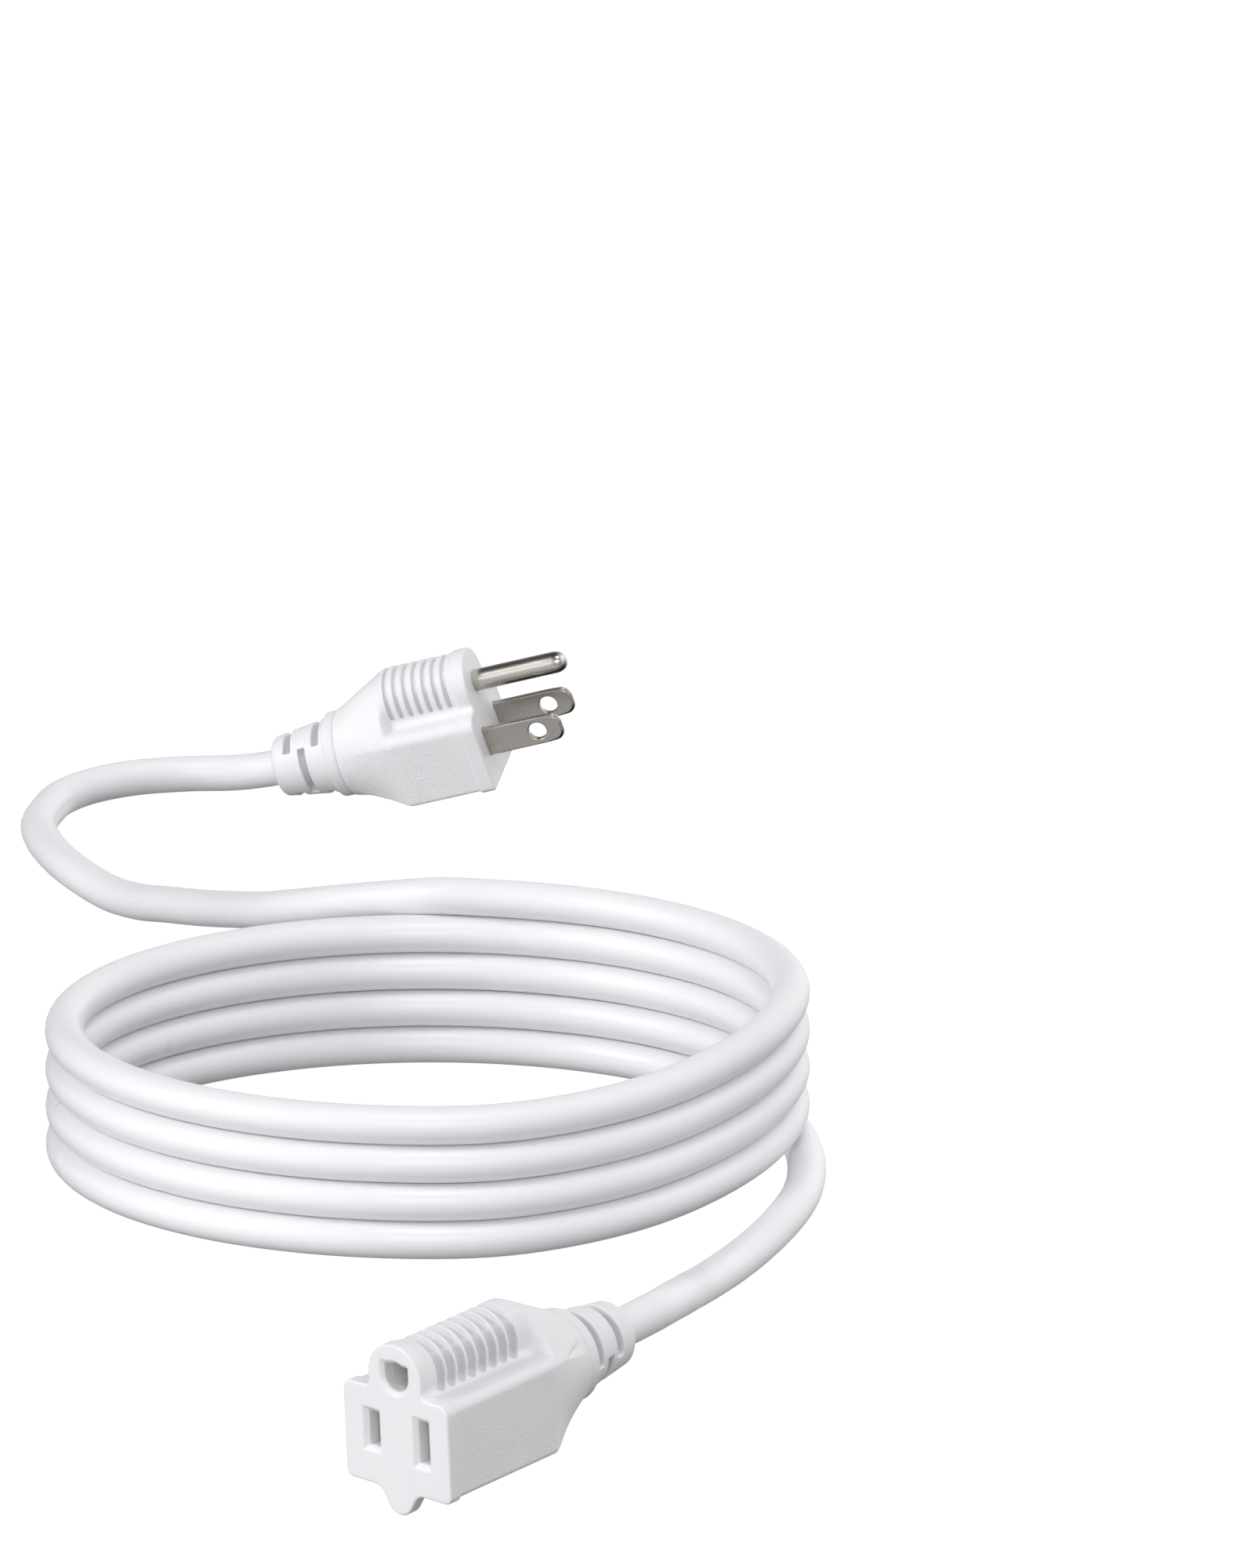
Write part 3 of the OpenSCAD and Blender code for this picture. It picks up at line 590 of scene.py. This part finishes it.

# Each shell and relief carries a grain mark and a mask of painted shade for its grooves or slots.
v, f = nets(plug_shape, (-34.3, -13.4, -10.6), (1.2, 13.4, 20.4), HP)
plug_body = piece("plug_shell", v, f, plug_row, VINYL, ["plug_body"],
                  {"grain": grain_mark(-v[:, 0], v[:, 1], v[:, 2], PLUG),
                   "painted_shade": groove_shade_mask(-v[:, 0], v[:, 1], v[:, 2], PLUG)})
v, f = nets(plug_relief_shape, (-50, -10.6, -8.6), (-32, 10.6, 12.6), H)
plug_relief = piece("plug_relief", v, f, plug_row, VINYL, ["plug_strain_relief"],
                    {"grain": np.zeros(len(v)), "painted_shade": slot_shade_mask(-33 - v[:, 0], v[:, 2] - 2, v[:, 1], 16.0)})
v, f = nets(con_shape, (-14.4, -1.2, -17.2), (14.4, 46.3, 19.8), H)
con_body = piece("connector_shell", v, f, con_row, VINYL, ["connector_body"],
                 {"grain": grain_mark(v[:, 1], v[:, 0], v[:, 2], CONN),
                  "painted_shade": groove_shade_mask(v[:, 1], v[:, 0], v[:, 2], CONN)})
v, f = nets(con_relief_shape, (-10.6, 44, -9.1), (10.6, 62.5, 12.1), H)
con_relief = piece("connector_relief", v, f, con_row, VINYL, ["connector_strain_relief"],
                   {"grain": np.zeros(len(v)), "painted_shade": slot_shade_mask(v[:, 1] - 45, v[:, 0], v[:, 2] - 1.5, 16.5)})
v, f = nets(blade_shape, (-20.6, -2.2, -3.8), (18.2, 2.2, 3.8), HF)
piece("line_prong", v + [0, 6.35, 0], f, plug_row, BLADE, ["line_blade"])
piece("neutral_prong", v + [0, -6.35, 0], f, plug_row, BLADE, ["neutral_blade"])


def lathe(profile, n):
    """Turns (x, r) points round the x axis; the first and last points are on the axis."""
    rings = profile[1:-1]
    a = np.arange(n) * 2 * math.pi / n
    verts = [np.stack([np.full(n, x), -r * np.sin(a), r * np.cos(a)], 1) for x, r in rings]
    verts = np.concatenate(verts)
    quads = []
    k = np.arange(n)
    for i in range(len(rings) - 1):
        quads.append(np.stack([i * n + k, i * n + (k + 1) % n, (i + 1) * n + (k + 1) % n, (i + 1) * n + k], 1))
    return verts, np.concatenate(quads)


tip = [(-20.0, 0.0), (-20.0, 0.76), (-20.0, 1.55), (-19.85, 1.7), (-14.1, 1.7), (-14.0, 1.75), (-14.0, 1.95), (-13.85, 2.1)]
tip += [(-7.0, 2.1), (-0.02, 2.1), (0.0, 2.12), (0.0, 2.36), (0.02, 2.38)]
tip += [(x, 2.38) for x in np.linspace(1.6, 18.4, 12)]
tip += [(18.4 + 3.0 * math.sin(a) ** 0.9, 2.38 * math.cos(a) ** 0.8) for a in np.radians(np.arange(5, 90, 5))]
tip += [(21.4, 0.12), (21.4, 0.0)]
v, f = lathe(tip, 96)
ends = [[i for i in range(96)][::-1], [len(v) - 96 + i for i in range(96)]]
pin = piece("ground_prong", v + [0, 0, PIN_UP], f, plug_row, PIN, ["ground_pin"])
import bmesh
bm = bmesh.new()
bm.from_mesh(pin.data)
bmesh.ops.holes_fill(bm, edges=[e for e in bm.edges if e.is_boundary])
bmesh.ops.recalc_face_normals(bm, faces=bm.faces)
bm.to_mesh(pin.data)
bm.free()
pin.data.shade_smooth()

# ------------------------------------------------------------------ floor and light
floor_mesh = bpy.data.meshes.new("floor")
floor_mesh.from_pydata([(-30, -30, 0), (30, -30, 0), (30, 30, 0), (-30, 30, 0)], [], [(0, 1, 2, 3)])
floor = bpy.data.objects.new("floor", floor_mesh)
scene.collection.objects.link(floor)
fm, fnt, fb = new_material("floor", (0.25, 0.25, 0.25), 0.9)
fb.inputs["Specular IOR Level"].default_value = 0.0
fb.inputs["Emission Color"].default_value = (1, 1, 1, 1)
fb.inputs["Emission Strength"].default_value = 0.93
floor_mesh.materials.append(fm)
floor.visible_diffuse = floor.visible_glossy = floor.visible_shadow = False

# The studio: soft lamps as (degrees to the camera's right, degrees up, sharpness, strength)
LAMPS = [
    (0, 20, 60, 6.8), (-70, 30, 160, 22.5), (0, 65, 160, 12.6), (-60, 10, 6, 1.42), (90, 45, 6, 1.47),
    (60, 10, 6, 0.6), (0, -30, 6, 0.57), (-60, -30, 6, 0.46), (150, 10, 6, 1.5), (-100, 10, 6, 0.55),
    (-40, 5, 60, 0.76), (45, 45, 6, 0.14), (-150, 10, 6, 0.18), (180, -30, 6, 0.17),
]
near = -np.array([view_dir[0], view_dir[1], 0]) / math.cos(EL)


def toward(az, el):
    """A unit vector: az degrees from the camera's side to its right, el degrees up."""
    a, e = math.radians(az), math.radians(el)
    return (near * math.cos(a) + view_right * math.sin(a)) * math.cos(e) + np.array([0, 0, math.sin(e)])


world = bpy.data.worlds.new("world")
scene.world = world
world.use_nodes = True
wnt = world.node_tree
back = wnt.nodes["Background"]
back.inputs["Color"].default_value = (1.015, 1.022, 1.038, 1)
where = wnt.nodes.new("ShaderNodeTexCoord")
level = wnt.nodes.new("ShaderNodeVectorMath")
level.operation = "NORMALIZE"
wnt.links.new(where.outputs["Generated"], level.inputs[0])
total = None


def math_node(kind, x, y):
    n = wnt.nodes.new("ShaderNodeMath")
    n.operation = kind
    for socket, v in zip(n.inputs, (x, y)):
        if isinstance(v, (int, float)):
            socket.default_value = v
        else:
            wnt.links.new(v, socket)
    return n.outputs[0]


for az, el, sharp, strength in LAMPS:
    facing = wnt.nodes.new("ShaderNodeVectorMath")
    facing.operation = "DOT_PRODUCT"
    facing.inputs[1].default_value = Vector(toward(az, el))
    wnt.links.new(level.outputs[0], facing.inputs[0])
    glow = math_node("MULTIPLY", math_node("POWER", math_node("MAXIMUM", facing.outputs["Value"], 0.0), sharp), strength)
    total = glow if total is None else math_node("ADD", total, glow)
wnt.links.new(total, back.inputs["Strength"])
